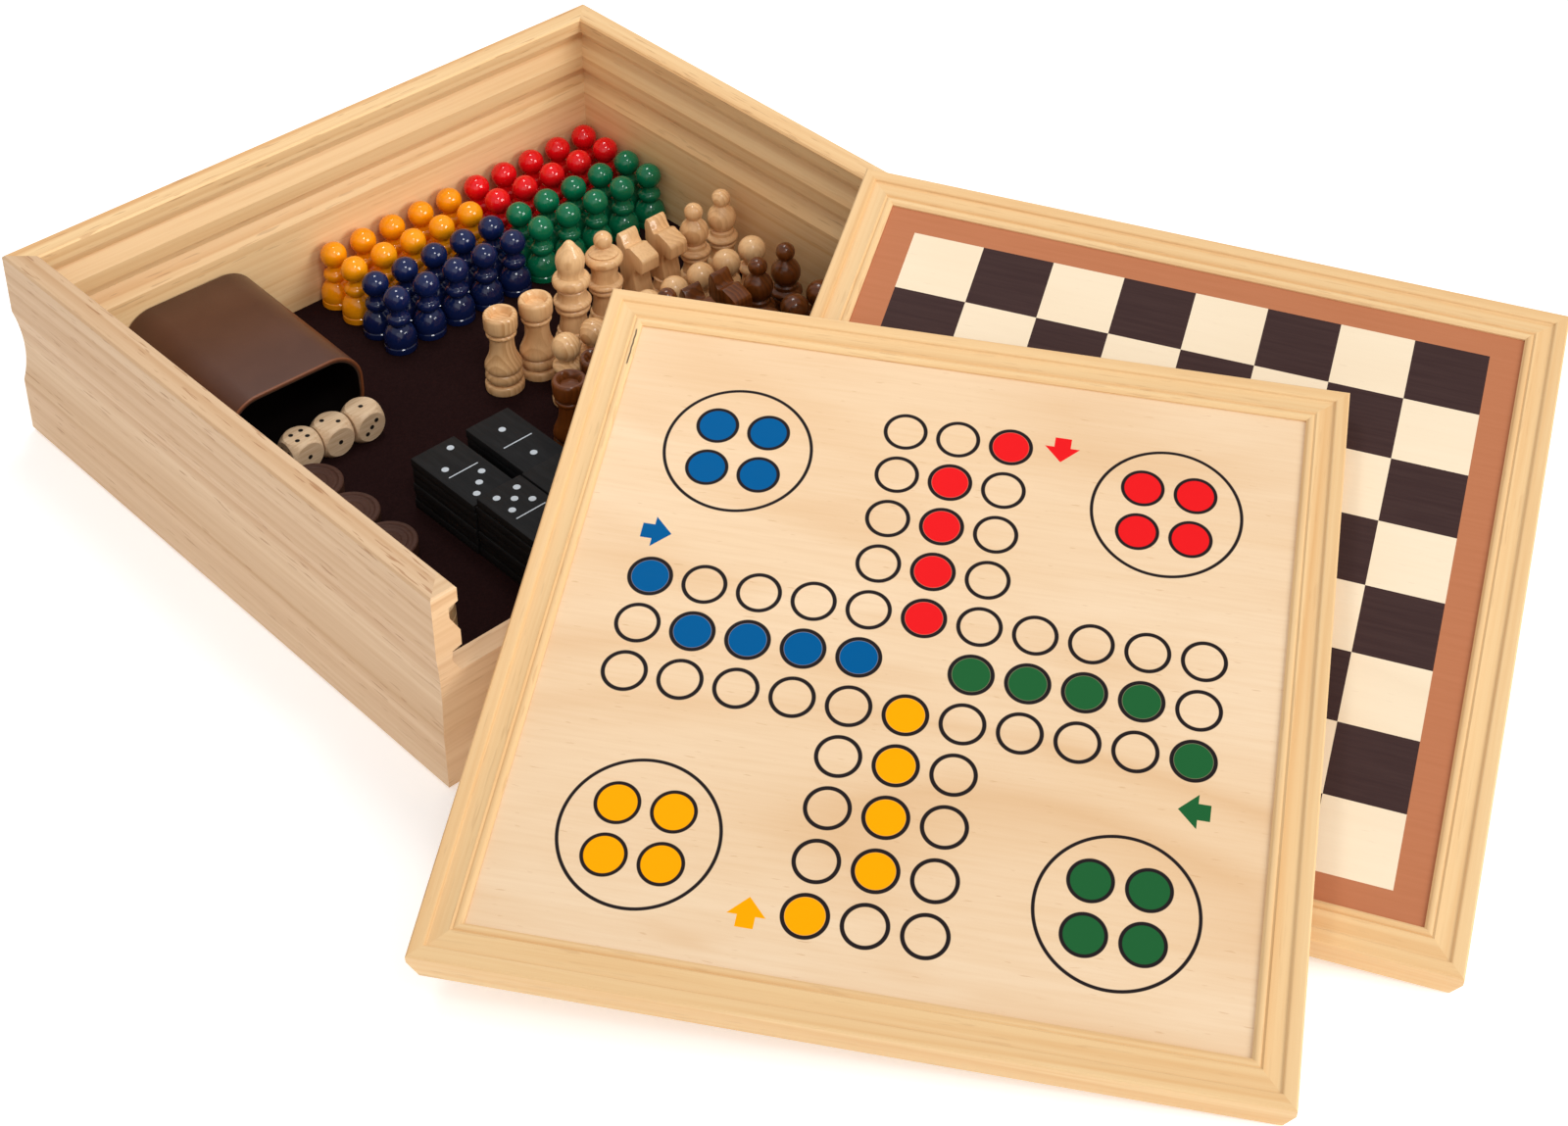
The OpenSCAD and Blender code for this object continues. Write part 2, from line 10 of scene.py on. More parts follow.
import bpy
from mathutils import Euler, Matrix, Vector
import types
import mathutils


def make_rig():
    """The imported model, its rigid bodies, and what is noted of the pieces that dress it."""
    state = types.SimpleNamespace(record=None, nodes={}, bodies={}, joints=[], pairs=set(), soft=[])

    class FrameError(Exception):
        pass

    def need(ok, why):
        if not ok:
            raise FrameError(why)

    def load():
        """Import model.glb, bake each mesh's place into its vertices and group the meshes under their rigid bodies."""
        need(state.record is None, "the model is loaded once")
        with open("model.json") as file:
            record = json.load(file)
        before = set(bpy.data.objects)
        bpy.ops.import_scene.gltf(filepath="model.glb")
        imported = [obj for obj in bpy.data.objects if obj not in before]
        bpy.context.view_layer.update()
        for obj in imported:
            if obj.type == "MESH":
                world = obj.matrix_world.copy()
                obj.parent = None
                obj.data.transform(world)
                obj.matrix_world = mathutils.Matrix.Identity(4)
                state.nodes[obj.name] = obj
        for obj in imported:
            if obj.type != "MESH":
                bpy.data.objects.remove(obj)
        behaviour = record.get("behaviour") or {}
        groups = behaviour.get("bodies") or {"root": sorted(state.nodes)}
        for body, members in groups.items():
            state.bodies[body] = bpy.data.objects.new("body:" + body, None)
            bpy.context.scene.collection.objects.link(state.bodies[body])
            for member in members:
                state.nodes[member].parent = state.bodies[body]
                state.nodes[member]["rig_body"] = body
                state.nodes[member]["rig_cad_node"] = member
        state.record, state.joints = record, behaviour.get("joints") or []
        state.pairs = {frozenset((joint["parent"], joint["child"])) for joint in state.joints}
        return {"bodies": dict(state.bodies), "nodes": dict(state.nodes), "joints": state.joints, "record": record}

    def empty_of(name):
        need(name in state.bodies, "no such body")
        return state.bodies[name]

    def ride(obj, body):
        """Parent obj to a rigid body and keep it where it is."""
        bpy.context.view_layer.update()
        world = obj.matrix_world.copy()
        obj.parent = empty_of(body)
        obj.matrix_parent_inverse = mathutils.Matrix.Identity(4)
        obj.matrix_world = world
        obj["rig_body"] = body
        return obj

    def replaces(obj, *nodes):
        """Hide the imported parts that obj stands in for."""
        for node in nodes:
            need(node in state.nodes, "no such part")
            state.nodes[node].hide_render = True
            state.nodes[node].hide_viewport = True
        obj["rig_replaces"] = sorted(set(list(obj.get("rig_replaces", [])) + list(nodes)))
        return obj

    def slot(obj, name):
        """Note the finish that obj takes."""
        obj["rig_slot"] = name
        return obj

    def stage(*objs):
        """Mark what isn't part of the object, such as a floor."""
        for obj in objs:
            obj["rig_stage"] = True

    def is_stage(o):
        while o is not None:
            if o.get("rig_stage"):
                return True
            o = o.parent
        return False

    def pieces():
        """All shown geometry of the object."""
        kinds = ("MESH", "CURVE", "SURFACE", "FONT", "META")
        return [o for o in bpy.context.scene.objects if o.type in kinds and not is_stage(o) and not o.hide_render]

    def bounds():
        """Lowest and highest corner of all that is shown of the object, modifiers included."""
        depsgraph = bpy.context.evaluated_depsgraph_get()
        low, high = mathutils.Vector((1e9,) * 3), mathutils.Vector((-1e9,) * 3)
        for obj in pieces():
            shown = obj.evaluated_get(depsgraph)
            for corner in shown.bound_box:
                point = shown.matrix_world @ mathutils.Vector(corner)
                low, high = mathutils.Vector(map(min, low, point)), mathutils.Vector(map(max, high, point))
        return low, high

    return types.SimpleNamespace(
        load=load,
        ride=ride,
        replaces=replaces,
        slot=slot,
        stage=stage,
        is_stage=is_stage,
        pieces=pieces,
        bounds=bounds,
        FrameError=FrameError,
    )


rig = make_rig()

bl_info = {
    "name": "Games Compendium Box",
    "version": (1, 0, 0),
    "blender": (4, 5, 0),
    "location": "3D View > Sidebar > Games Box",
    "description": "Dresses an open games box with its boards, men, dominoes and dice",
    "category": "Object",
}

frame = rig.load()
cad_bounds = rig.bounds()
# A millimetre in metres, and the scale that turns metres into millimetres
MM = 0.001
PER_MM = (1000, 1000, 1000)
QUARTER = math.radians(90)

# Top of the felt
FELT_Z = 5.0
# Outside size of a board, and the width of the taper under each tongue
BOARD_W = 284.0
BOARD_L = 281.3
TAPER = 3.6
# Lower right corner, then heading, fall and rise in degrees, of each leaning board
LEAN = {
    "ludo": ((-50.3, -439.27, 0.1), -53.5, 3.148, 15.12),
    "chess": ((29.62, -443.89, 0.1), -60, 3.8, 16.104)}
# Open crack beside the ludo board's left bead, in metres: start, end and distance across
CRACK = (0.105, 0.123, 0.1282)

# Printed ludo track: spacing, radius of a spot and of its fill, and the print's middle
PITCH = 19.716
SPOT_R = 8.2
FILL_R = 6.7
LUDO_MIDDLE = (0.47, -4.46)
# Ludo homes: distance from the middle, radius that holds the four spots, radius and
# half the width of the ring, half the spacing of the spots and their radius
HOME = 79.3
HOME_INSIDE = 26.0
HOME_R = 27.15
HOME_LINE = 0.62
HOME_STEP = 9.64
HOME_SPOT_R = 8.0
# Ludo arrow: where its head starts along and beside the arm, tail, half widths, slope
ARROW_ALONG = 101.4
ARROW_BESIDE = 38.5
ARROW_TAIL = (4.7, 3.05)
ARROW_HEAD = (0.4, 6.5, 0.97)
INK = "#241e1f"
GAME_COLOURS = {"blue": "#005790", "red": "#e61c20", "yellow": "#fba600", "green": "#215f33"}

# Printed chessboard: size of a square and the print's middle
SQUARE = 28.657
CHESS_MIDDLE = (0.3, -0.31)

# Dice cup: width, height, corner, wall, base, length, middle and turn in degrees
CUP_W = 64
CUP_H = 36
CUP_CORNER = 15
CUP_WALL = 2.4
CUP_BASE = 4
CUP_L = 83.4
CUP_MIDDLE = (-79, 90.955)
CUP_TURN = math.radians(-1.5)

# Dice: half the width, spacing and radius of the pips, and for each die its place,
# turn in degrees, sense of its top face, and the pips on top, in front and at the side
DIE_HALF = 7
PIP_STEP = 2.4
PIP_R = 1.02
DICE = {
    "die_left": (-85.2, 41.755, 0, 1.0, (4, 1, 2)),
    "die_middle": (-70.6, 41.155, -1, -1.0, (2, 1, 3)),
    "die_right": (-55.9, 40.555, 1, 1.0, (1, 3, 2))}
SPOTS = {
    0: [],
    1: [(0, 0)],
    2: [(-1, -1), (1, 1)],
    3: [(-1, -1), (0, 0), (1, 1)],
    4: [(-1, -1), (-1, 1), (1, -1), (1, 1)],
    5: [(-1, -1), (-1, 1), (1, -1), (1, 1), (0, 0)],
    6: [(-1, -1), (-1, 1), (1, -1), (1, 1), (-1, 0), (1, 0)]}

# Domino: width, length, thickness, slip and turn of the slip from tile to tile,
# spacing of the spots, middle of a half, radius of a spot, size of the bar, height of both
TILE_W = 21.2
TILE_L = 41
TILE_T = 4
SLIP = 0.25
SLIP_TURN = 137
SPOT_STEP = 4.9
HALF_TILE = 10.2
DOMINO_SPOT_R = 1.5
BAR_MARK = (14, 0.55)
MARK_T = 0.12
STACKS = {  # node: x, y, tiles, spots on the far and near half of the top tile
    "dominoes_rear_left": (-57.8, -33.6, 6, 2, 3),
    "dominoes_rear_right": (-30.9, -33.6, 6, 1, 1),
    "dominoes_front_left": (-57.3, -75.4, 7, 5, 0),
    "dominoes_front_right": (-35.3, -75.4, 7, 0, 3)}
LOOSE = (-46, -110)

# Draughtsmen: thickness, spacing of the stacks, and where each row starts
DRAUGHT_T = 6
DRAUGHT_STEP = 25.2
INNER_ROW = (-93.2, 22.055)
DARK_ROW = (-119.4, 35.755)
LIGHT_ROW = (-119.4, -39.845)

# Halma men: place of the first, then first column, first row and lacquer of each colour
HALMA_START = (131.6, 126.1)
HALMA = {
    "red": (0, 0, "#e60f17"), "orange": (5, 0, "#ff9e0c"),
    "green": (0, 2, "#08704a"), "blue": (5, 2, "#121f4c")}

# Chess men: y of the rank and of the pawns, x of the first pawn, and (x, step in y) of each man
RANKS = {
    "light": (24.5, -1, 19.6, {
        "rooks": [(6.2, 1), (23.4, -0.8)], "king": [(43.4, 0)], "queen": [(61.8, 0.5)],
        "knights": [(79.4, 0), (95.4, 0)], "bishops": [(112, 0), (128, 0)]}),
    "dark": (-26.5, -46.5, 18, {
        "rooks": [(-1.6, -4), (16, 0)], "king": [(34.8, 0)], "queen": [(54, 0)],
        "knights": [(71.6, 0), (87.6, 0)], "bishops": [(104, 0), (120, 0)]})}

# Camera solved from the photo, in metres
CAMERA_RIGHT = Vector((0.72308, -0.69074, -0.00499))
CAMERA_UP = Vector((0.34505, 0.35493, 0.86889))
CAMERA_AHEAD = Vector((0.59841, 0.63, -0.49498))
CAMERA_PLACE = Vector((-0.55757, -0.78455, 0.73194))
CAMERA_LENS = 65.521
CAMERA_SHIFT = (-0.0459, -0.3382)
# Soft lamps: name, place, size in metres and power in watts
LAMPS = (
    ("key", (0.5, -1.6, 0.85), 0.7, 16),
    ("fill", (-1.1, -1.2, 0.8), 1.4, 4),
    ("top", (0.15, 0.3, 1.1), 0.26, 3))
# Spot lamp on the inside of the box, in metres, watts and degrees
SNOOT_PLACE = Vector((-0.25, -0.7, 1.15))
SNOOT_AIM = Vector((0.0, 0.09, 0.03))
SNOOT_R = 0.17
SNOOT_POWER = 19
SNOOT_CONE = 24
# Even light from all round, the floor's size in metres and its own glow
AIR_LIGHT = 0.56
FLOOR_SIZE = 8
FLOOR_GLOW = 0.36
WHITE = (1, 1, 1, 1)


def rgb(code):
    """Linear colour with alpha from a hex colour code."""
    parts = [int(code[i:i + 2], 16) / 255 for i in (1, 3, 5)]
    return tuple(p / 12.92 if p <= 0.04045 else ((p + 0.055) / 1.055) ** 2.4 for p in parts) + (1.0,)


class Wire:
    """A number in a node tree that takes part in Python expressions."""

    def __init__(self, finish, socket):
        self.finish = finish
        self.socket = socket

    def calc(self, operation, *others):
        return self.finish.add("ShaderNodeMath", {"operation": operation}, (self, *others))

    def __add__(self, other):
        return self.calc("ADD", other)

    __radd__ = __add__

    def __mul__(self, other):
        return self.calc("MULTIPLY", other)

    __rmul__ = __mul__

    def __sub__(self, other):
        return self.calc("SUBTRACT", other)

    def __rsub__(self, other):
        return (self * -1.0) + other

    def __truediv__(self, other):
        return self.calc("DIVIDE", other)

    def __pow__(self, other):
        return self.calc("POWER", other)

    def __lt__(self, other):
        return self.calc("LESS_THAN", other)

    def __gt__(self, other):
        return self.calc("GREATER_THAN", other)

    def __or__(self, other):
        return self.calc("MAXIMUM", other)

    def __abs__(self):
        return self.calc("ABSOLUTE")

    def __round__(self):
        return self.calc("ROUND")

    def between(self, low, high):
        """0 below low, 1 above high, a straight ramp between them."""
        return self.finish.add(
            "ShaderNodeMapRange", {"clamp": True}, {"Value": self, "From Min": low, "From Max": high})


class Finish:
    """A procedural material whose shader is built by expressions."""

    def __init__(self, name, **fixed):
        self.material = bpy.data.materials.new(name)
        self.material.use_nodes = True
        self.tree = self.material.node_tree
        self.shader = self.tree.nodes["Principled BSDF"]
        self.point = self.add("ShaderNodeTexCoord", {}, {}, output="Object")
        for key, value in fixed.items():
            self.set(key.replace("_", " "), value)

    def add(self, kind, settings, values, output=0):
        node = self.tree.nodes.new(kind)
        for key, value in settings.items():
            setattr(node, key, value)
        pairs = values.items() if isinstance(values, dict) else enumerate(values)
        for key, value in pairs:
            self.join(node.inputs[key], value)
        return Wire(self, node.outputs[output])

    def join(self, socket, value):
        if isinstance(value, Wire):
            self.tree.links.new(value.socket, socket)
        else:
            socket.default_value = value

    def set(self, name, value):
        self.join(self.shader.inputs[name], value)

    def place(self, point, location=(0, 0, 0), turn=(0, 0, 0), scale=(1, 1, 1), kind="POINT"):
        return self.add(
            "ShaderNodeMapping", {"vector_type": kind},
            {"Vector": point, "Location": location, "Rotation": turn, "Scale": scale})

    def within(self, place, turn):
        """The point as seen from a piece's own middle and turn."""
        return self.place(self.point, place, turn, kind="TEXTURE")

    def split(self, point):
        """The three numbers of a vector."""
        node = self.tree.nodes.new("ShaderNodeSeparateXYZ")
        self.join(node.inputs[0], point)
        return [Wire(self, out) for out in node.outputs]

    def noise(self, point, scale, detail=2.0, roughness=0.5, distortion=0.0):
        return self.add("ShaderNodeTexNoise", {}, {
            "Vector": point, "Scale": scale, "Detail": detail,
            "Roughness": roughness, "Distortion": distortion})

    def grain(self, point, scale, detail=2.0, roughness=0.5, distortion=0.0):
        """Noise drawn out by a scale of its own along each axis."""
        return self.noise(self.place(point, scale=scale), 1.0, detail, roughness, distortion)

    def mix(self, factor, low, high):
        node = self.tree.nodes.new("ShaderNodeMix")
        node.data_type = "RGBA"
        self.join(node.inputs[0], factor)
        self.join(node.inputs[6], low)
        self.join(node.inputs[7], high)
        return Wire(self, node.outputs[2])

    def bump(self, height, strength, distance):
        self.set("Normal", self.add("ShaderNodeBump", {}, {
            "Height": height, "Strength": strength, "Distance": distance}))


def far_from(x, y):
    """Distance of (x, y) from the origin."""
    return (x * x + y * y) ** 0.5


def below(value, edge, blur=0.12):
    """1 where the value lies below the edge, with a soft printed rim."""
    return 1 - value.between(edge - blur, edge + blur)


def timber(finish, point, pale, late, pith=(0.05, -0.08), ring=0.005, depth=0.7, streak=0.6):
    """Softwood plank whose grain runs along the point's X: rings, streaks, fibres and resin ducts.

    pith is where the rings' centre lies across and above the plank, and ring
    is their spacing, both in metres.
    """
    drift = finish.grain(point, (1.6, 14, 14))
    ripple = finish.grain(point, (7, 90, 90))
    _, across, up = finish.split(point)
    far = ((across - pith[0]) ** 2.0 + (up - pith[1]) ** 2.0) ** 0.5
    rings = (far + (drift - 0.5) * 0.012 + (ripple - 0.5) * 0.0016) / ring
    saw = rings.calc("FRACT")
    line = (saw.between(0.1, 0.88) ** 2.2) * (1 - saw.between(0.88, 1.0))
    year = finish.add(
        "ShaderNodeTexNoise", {"noise_dimensions": "1D"}, {"W": rings.calc("FLOOR") * 3.7, "Scale": 1.0})
    patch = finish.grain(point, (2.2, 40, 40), 1.0)
    line = line * year.between(0.3, 0.65) * patch.between(0.2, 0.6)
    broad = finish.grain(point, (0.9, 34, 34), 3.0, 0.6)
    fine = finish.grain(point, (9, 420, 420), 4.0, 0.62)
    ducts = finish.grain(point, (70, 900, 900), 1.0)
    ducts = ducts.between(0.64, 0.7) * patch.between(0.38, 0.56)
    tone = finish.mix(broad.between(0.36, 0.66) * streak, pale, finish.mix(0.55, pale, late))
    tone = finish.mix(line * depth, tone, late)
    tone = finish.mix(fine.between(0.42, 0.72) * 0.3, tone, late)
    tone = finish.mix(ducts * (0.6 * streak), tone, rgb("#9c6538"))
    return tone, line, fine


def crack_line(finish, point, start, end, beside):
    """A thin open crack along the grain, beside the plank's middle."""
    along, across, _ = finish.split(point)
    wobble = (finish.grain(point, (240, 0, 0)) - 0.5) * 0.0006
    near = 1 - abs(across - beside + wobble).between(0.00015, 0.0004)
    return near * along.between(start, start + 0.001) * (1 - along.between(end - 0.001, end))


def pine(name, turn, origin, pale, late, crack=None, **plank):
    """Oiled pine with its grain along the turned X axis."""
    finish = Finish(name, Coat_Weight=0.05, Coat_Roughness=0.35, Specular_IOR_Level=0.3)
    point = finish.within(origin, turn)
    tone, line, fine = timber(finish, point, pale, late, **plank)
    if crack:
        tone = finish.mix(crack_line(finish, point, *crack) * 0.9, tone, rgb("#2e1a10"))
    finish.set("Base Color", tone)
    finish.set("Roughness", fine * 0.18 + 0.42)
    finish.bump(line * 0.4 + fine, 0.2, 0.0002)
    return finish.material


def enamel(name, colour):
    """Brushed lacquer over turned wood."""
    finish = Finish(name, Coat_Weight=1.0, Coat_Roughness=0.07, Specular_IOR_Level=0.0)
    streak = finish.grain(finish.point, (150, 150, 900), 3.0, 0.6)
    blotch = finish.noise(finish.point, 110.0)
    bright = rgb(colour)
    dull = tuple(c * 0.7 for c in bright[:3]) + (1.0,)
    wear = (streak * 0.6 + blotch * 0.4).between(0.42, 0.62)
    finish.set("Base Color", finish.mix(wear * 0.4, bright, dull))
    finish.set("Roughness", blotch * 0.12 + 0.3)
    finish.bump(streak, 0.1, 0.0002)
    return finish.material


def turned_wood(name, pale, late, rough=0.34, coat=0.6, contrast=0.45):
    """Lacquered turned wood with upright growth planes that show as ovals on the balls."""
    slope = 0.6
    ring = 0.0021
    pale, late = rgb(pale), rgb(late)
    finish = Finish(name, Coat_Weight=coat, Coat_Roughness=0.12, Specular_IOR_Level=0.2)
    x, y, z = finish.split(finish.point)
    drift = finish.grain(finish.point, (60, 60, 14))
    tilt = finish.grain(finish.point, (40, 40, 0), 0.0)
    plane = x * math.cos(slope) + y * math.sin(slope) + z * ((tilt - 0.5) * 0.5)
    saw = ((plane + drift * 0.004) / ring).calc("FRACT")
    line = saw.between(0.2, 0.9) * (1 - saw.between(0.9, 1.0)) * drift.between(0.3, 0.65)
    fibre = finish.grain(finish.point, (900, 900, 60), 2.0, 0.6)
    piece = finish.grain(finish.point, (38, 38, 0), 0.0)
    tone = finish.mix(piece.between(0.3, 0.7) * 0.35, pale, late)
    tone = finish.mix(line * contrast, tone, late)
    finish.set("Base Color", finish.mix(fibre.between(0.45, 0.75) * 0.25, tone, late))
    finish.set("Roughness", fibre * 0.15 + rough)
    finish.bump(fibre + line * 0.3, 0.1, 0.0001)
    return finish.material


def felt():
    finish = Finish("felt", Roughness=1.0, Specular_IOR_Level=0.05)
    fluff = finish.noise(finish.point, 900.0, 3.0, 0.7)
    patch = finish.noise(finish.point, 30.0)
    finish.set("Base Color", finish.mix(
        fluff.between(0.3, 0.8) * 0.6 + patch * 0.2, rgb("#1b0d0d"), rgb("#2e1a19")))
    finish.bump(fluff, 0.5, 0.0006)
    return finish.material


def board_turn(board, extra=0.0):
    """Origin and turn of a leaning board's middle, on the plane of its underside."""
    corner, heading, dip, tilt = LEAN[board]
    spin = Euler([math.radians(a) for a in (tilt, dip, heading)], "XYZ").to_matrix()
    shift = Vector(((TAPER - BOARD_W / 2) * MM, BOARD_L / 2 * MM, 0))
    place = Vector(corner) * MM + spin @ shift
    full = spin @ Matrix.Rotation(math.radians(extra), 3, "Z")
    return tuple(place), tuple(full.to_euler("XYZ"))


def birch(finish, point):
    """Rotary-cut birch face with its grain along the point's X."""
    soft = finish.grain(point, (3.5, 13, 1), 3.0, 0.6, 0.8)
    fine = finish.grain(point, (26, 520, 1), 3.0, 0.6)
    curl = (finish.grain(point, (1.5, 4.5, 1), 1.5) * 14.0).calc("FRACT")
    line = curl.between(0.0, 0.3) * (1 - curl.between(0.3, 0.7))
    pores = finish.grain(point, (140, 900, 1), 1.0).between(0.7, 0.78)
    tone = finish.mix(soft.between(0.35, 0.68) * 0.7, rgb("#ecd0ae"), rgb("#e3bf95"))
    tone = finish.mix(line * soft.between(0.4, 0.6) * 0.55, tone, rgb("#d9ae80"))
    tone = finish.mix(fine.between(0.4, 0.8) * 0.3, tone, rgb("#d8af80"))
    return finish.mix(pores * 0.35, tone, rgb("#c08f5f")), fine


def print_base(board, middle):
    """A board's print: its finish, its birch face and the distances from the print's middle in mm."""
    finish = Finish(board + "_print", Specular_IOR_Level=0.03)
    point = finish.within(*board_turn(board))
    wood, fine = birch(finish, point)
    x, y, _ = finish.split(finish.place(point, scale=PER_MM))
    return finish, wood, fine, x - middle[0], y - middle[1]


def varnish(finish, tone, fine, rough):
    finish.set("Base Color", tone)
    finish.set("Roughness", fine * 0.15 + rough)
    finish.bump(fine, 0.12, 0.0002)
    return finish.material


def ludo_print():
    """The ludo cross, its four homes and the four arrows that point to the starts."""
    finish, wood, fine, x, y = print_base("ludo", LUDO_MIDDLE)
    column, row = round(x / PITCH), round(y / PITCH)
    far = far_from(x - column * PITCH, y - row * PITCH)
    arm_x, arm_y = abs(column), abs(row)
    cross = ((arm_x < 1.5) | (arm_y < 1.5)) * (arm_x < 5.5) * (arm_y < 5.5) * (arm_x + arm_y > 0.5)
    fill = cross * below(far, FILL_R)
    home_x, home_y = abs(x) - HOME, abs(y) - HOME
    from_home = far_from(home_x, home_y)
    four = far_from(abs(home_x) - HOME_STEP, abs(home_y) - HOME_STEP)
    in_home = below(from_home, HOME_INSIDE, 0.5)
    spots = (cross * below(far, SPOT_R)) | (in_home * below(four, HOME_SPOT_R))
    spots = spots | below(abs(from_home - HOME_R), HOME_LINE)
    home_fill = in_home * below(four, FILL_R)
    tone = finish.mix(spots - fill, wood, rgb(INK))
    ways = {"blue": (-1, 0), "red": (0, 1), "green": (1, 0), "yellow": (0, -1)}
    for name, (to_x, to_y) in ways.items():
        along = column * to_x + row * to_y
        beside = column * -to_y + row * to_x
        lane = (along > 0.5) * (along < 4.5) * (abs(beside) < 0.5)
        start = (along > 4.5) * (along < 5.5) * (beside < -0.5)
        out, right = x * to_x + y * to_y, x * to_y - y * to_x
        quarter = (out > 0) * (right > 0)
        inward = ARROW_ALONG - out
        from_axis = abs(right - ARROW_BESIDE)
        back, half = ARROW_TAIL
        tail = (inward > -back) * (inward < 0.0) * (from_axis < half)
        back, half, slope = ARROW_HEAD
        head = (inward > -back) * ((from_axis + (inward + back) * slope) < half)
        tone = finish.mix(
            (fill * (lane | start)) | (home_fill * quarter) | tail | head, tone, rgb(GAME_COLOURS[name]))
    return varnish(finish, tone, fine, 0.38)


def chess_print():
    finish, wood, fine, x, y = print_base("chess", CHESS_MIDDLE)
    x, y = x / SQUARE, y / SQUARE
    inside = (abs(x) < 4.0) * (abs(y) < 4.0)
    parity = abs((x.calc("FLOOR") + y.calc("FLOOR")).calc("MODULO", 2.0))
    grain = fine.between(0.35, 0.8)
    border = finish.mix(grain * 0.3, rgb("#b97653"), rgb("#a6633f"))
    dark = finish.mix(grain * 0.35, rgb("#3d2c2b"), rgb("#54403c"))
    light = finish.mix(0.6, wood, rgb("#f2e6cd"))
    squares = finish.mix(parity > 0.5, dark, light)
    return varnish(finish, finish.mix(inside, border, squares), fine, 0.36)


def leatherette():
    """Brown skin outside, dark inside, amber at the cut edge of the mouth, and painted light that makes the cup's
    right and lower side lighter.
    """
    finish = Finish("cup_brown", Coat_Weight=0.12, Coat_Roughness=0.25, Specular_IOR_Level=0.3)
    middle = (CUP_MIDDLE[0] * MM, CUP_MIDDLE[1] * MM, (FELT_Z + CUP_H / 2) * MM)
    x, y, z = finish.split(finish.place(finish.within(middle, (0, 0, CUP_TURN)), scale=PER_MM))
    out_x = (abs(x) - (CUP_W / 2 - CUP_CORNER)) | 0.0
    out_z = (abs(z) - (CUP_H / 2 - CUP_CORNER)) | 0.0
    deep = CUP_CORNER - far_from(out_x, out_z)
    inside = deep.between(0.9, 2.3) * (y < 41.2)
    mouth = (y < -41.1) * (1 - deep.between(0.2, 1.4))
    mottle = finish.noise(finish.point, 45.0, 3.0)
    pores = finish.noise(finish.point, 1400.0, 2.0, 0.7)
    tone = finish.mix(mottle.between(0.3, 0.7) * 0.5, rgb("#4e2e20"), rgb("#5d3a2a"))
    # Painted light: the cup's right side and lower part are drawn lighter and more amber
    tone = finish.mix((x - z).between(8, 46) * 0.5, tone, rgb("#8a4a1c"))
    tone = finish.mix(inside, tone, rgb("#0b0504"))
    finish.set("Base Color", finish.mix(mouth, tone, rgb("#7a4526")))
    finish.set("Roughness", pores * 0.12 + 0.36)
    finish.bump(pores, 0.06, 0.0002)
    return finish.material


def die_wood(name):
    """Bare beech with the die's pips, those on opposite faces adding up to seven."""
    x, y, turn, sense, (top, front, side) = DICE[name]
    finish = Finish(name + "_wood", Specular_IOR_Level=0.25)
    middle = (x * MM, y * MM, (FELT_Z + DIE_HALF) * MM)
    point = finish.within(middle, (0, 0, math.radians(turn)))
    fibre = finish.grain(point, (90, 900, 900), 3.0, 0.6)
    wood = finish.mix(fibre.between(0.35, 0.75), rgb("#e6c9a6"), rgb("#cba67e"))
    a, b, c = finish.split(finish.place(point, scale=PER_MM))
    faces = (
        (c, a * sense, b, top), (c * -1.0, a, b, 7 - top),
        (b * -1.0, a, c, front), (b, a, c, 7 - front),
        (a, b, c, side), (a * -1.0, b, c, 7 - side))
    ink = None
    for level, u, v, count in faces:
        for du, dv in SPOTS[count]:
            pip = below(far_from(u - PIP_STEP * du, v - PIP_STEP * dv), PIP_R, 0.08)
            pip = pip * (level > DIE_HALF - 0.5)
            ink = pip if ink is None else ink | pip
    finish.set("Base Color", finish.mix(ink, wood, rgb("#17100e")))
    finish.set("Roughness", fibre * 0.15 + 0.4)
    finish.bump(fibre * 0.3 - ink, 0.4, 0.0002)
    return finish.material


def domino_finishes():
    """The tiles' stained black wood and the silver of their marks."""
    black = Finish("domino_black", Roughness=0.6, Specular_IOR_Level=0.12)
    grain = black.grain(black.point, (500, 60, 500), 3.0, 0.6)
    black.set("Base Color", black.mix(grain.between(0.4, 0.8), rgb("#19191a"), rgb("#242425")))
    black.bump(grain, 0.2, 0.0002)
    silver = Finish("spot_paint", Roughness=0.5)
    fleck = silver.noise(silver.point, 800.0)
    silver.set("Base Color", silver.mix(fleck, rgb("#d3dbe2"), rgb("#bcc5cd")))
    return black.material, silver.material


def paint(node, material):
    """Gives a CAD node's own mesh a finish."""
    for slot in bpy.data.objects[node].material_slots:
        slot.material = material


def clear():
    """Leaves edit mode with nothing selected."""
    if bpy.context.object and bpy.context.object.mode != "OBJECT":
        bpy.ops.object.mode_set(mode="OBJECT")
    bpy.ops.object.select_all(action="DESELECT")


def choose(*pieces):
    """Selects pieces alone, the first of them active."""
    clear()
    for piece in pieces:
        piece.select_set(True)
    bpy.context.view_layer.objects.active = pieces[0]


def edit_all():
    bpy.ops.object.mode_set(mode="EDIT")
    bpy.ops.mesh.select_all(action="SELECT")


def close_up():
    """Turns all faces outwards and leaves edit mode."""
    bpy.ops.mesh.select_all(action="SELECT")
    bpy.ops.mesh.normals_make_consistent(inside=False)
    bpy.ops.object.mode_set(mode="OBJECT")


def settle(piece, name, material, body, slot, nodes=(), smooth=40):
    """Puts a piece's place in its mesh, finishes it and ties it to its body."""
    choose(piece)
    bpy.ops.object.transform_apply(location=True, rotation=True, scale=True)
    bpy.ops.object.shade_smooth_by_angle(angle=math.radians(smooth))
    piece.name = name
    piece.data.materials.clear()
    piece.data.materials.append(material)
    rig.ride(piece, body)
    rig.slot(piece, slot)
    if nodes:
        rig.replaces(piece, *nodes)


